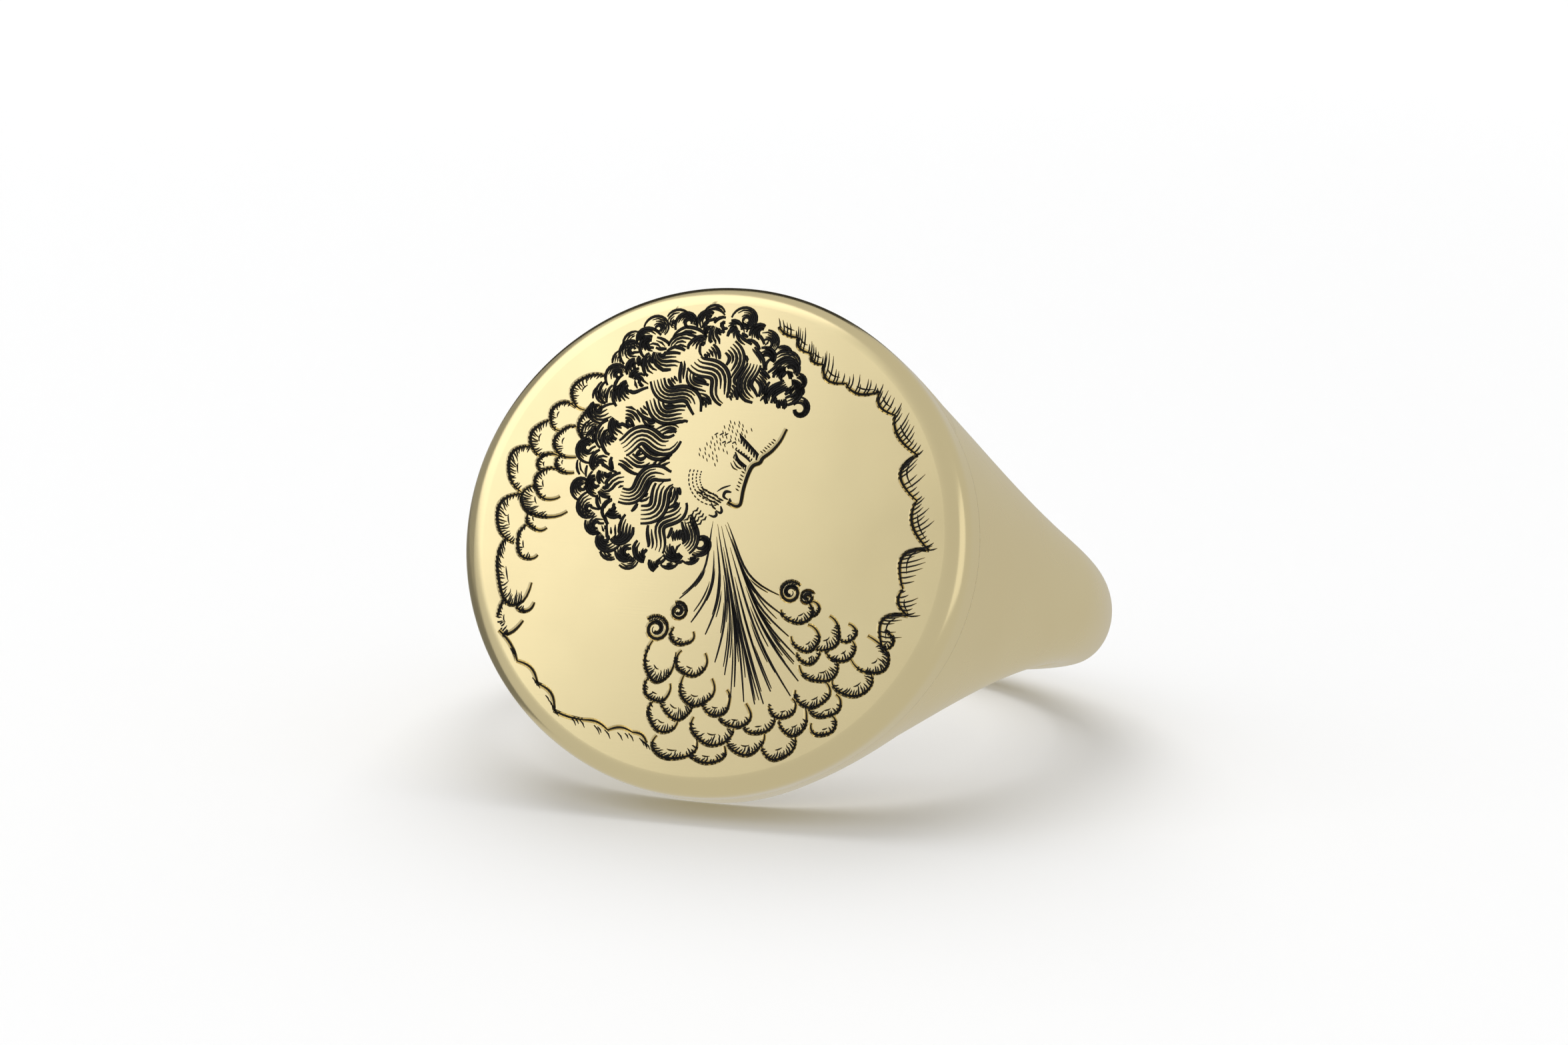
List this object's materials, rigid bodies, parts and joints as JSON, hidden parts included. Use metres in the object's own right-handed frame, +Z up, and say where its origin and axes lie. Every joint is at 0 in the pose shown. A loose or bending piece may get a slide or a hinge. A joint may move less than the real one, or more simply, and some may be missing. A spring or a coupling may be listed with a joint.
{
  "type": "signet ring",
  "caption": "Gold signet ring with a round engraved table, black enamel in the grooves, and tapered shoulders running into a rounded shank.",
  "frame": {"origin": "on the surface the ring lies on, under the middle of its bounding box", "axes": "+Z up, the ring lying on its side as it rests; the table faces -Y and leans back; the ring is mirror-symmetric about X=0"},
  "size_m": [0.0214, 0.0238, 0.0159],
  "materials": {
    "gold": "polished pale yellow gold",
    "enamel": "black vitreous enamel filling the engraving"
  },
  "bodies": {
    "root": {"signet_table": "gold", "signet_head": "gold", "left_shoulder": "gold", "right_shoulder": "gold", "back_shank": "gold", "hair_inlay": "enamel", "beard_inlay": "enamel", "profile_inlay": "enamel", "breath_inlay": "enamel", "billow_inlay": "enamel", "left_cloud_inlay": "enamel", "right_cloud_inlay": "enamel", "lower_cloud_inlay": "enamel"}
  },
  "joints": []
}
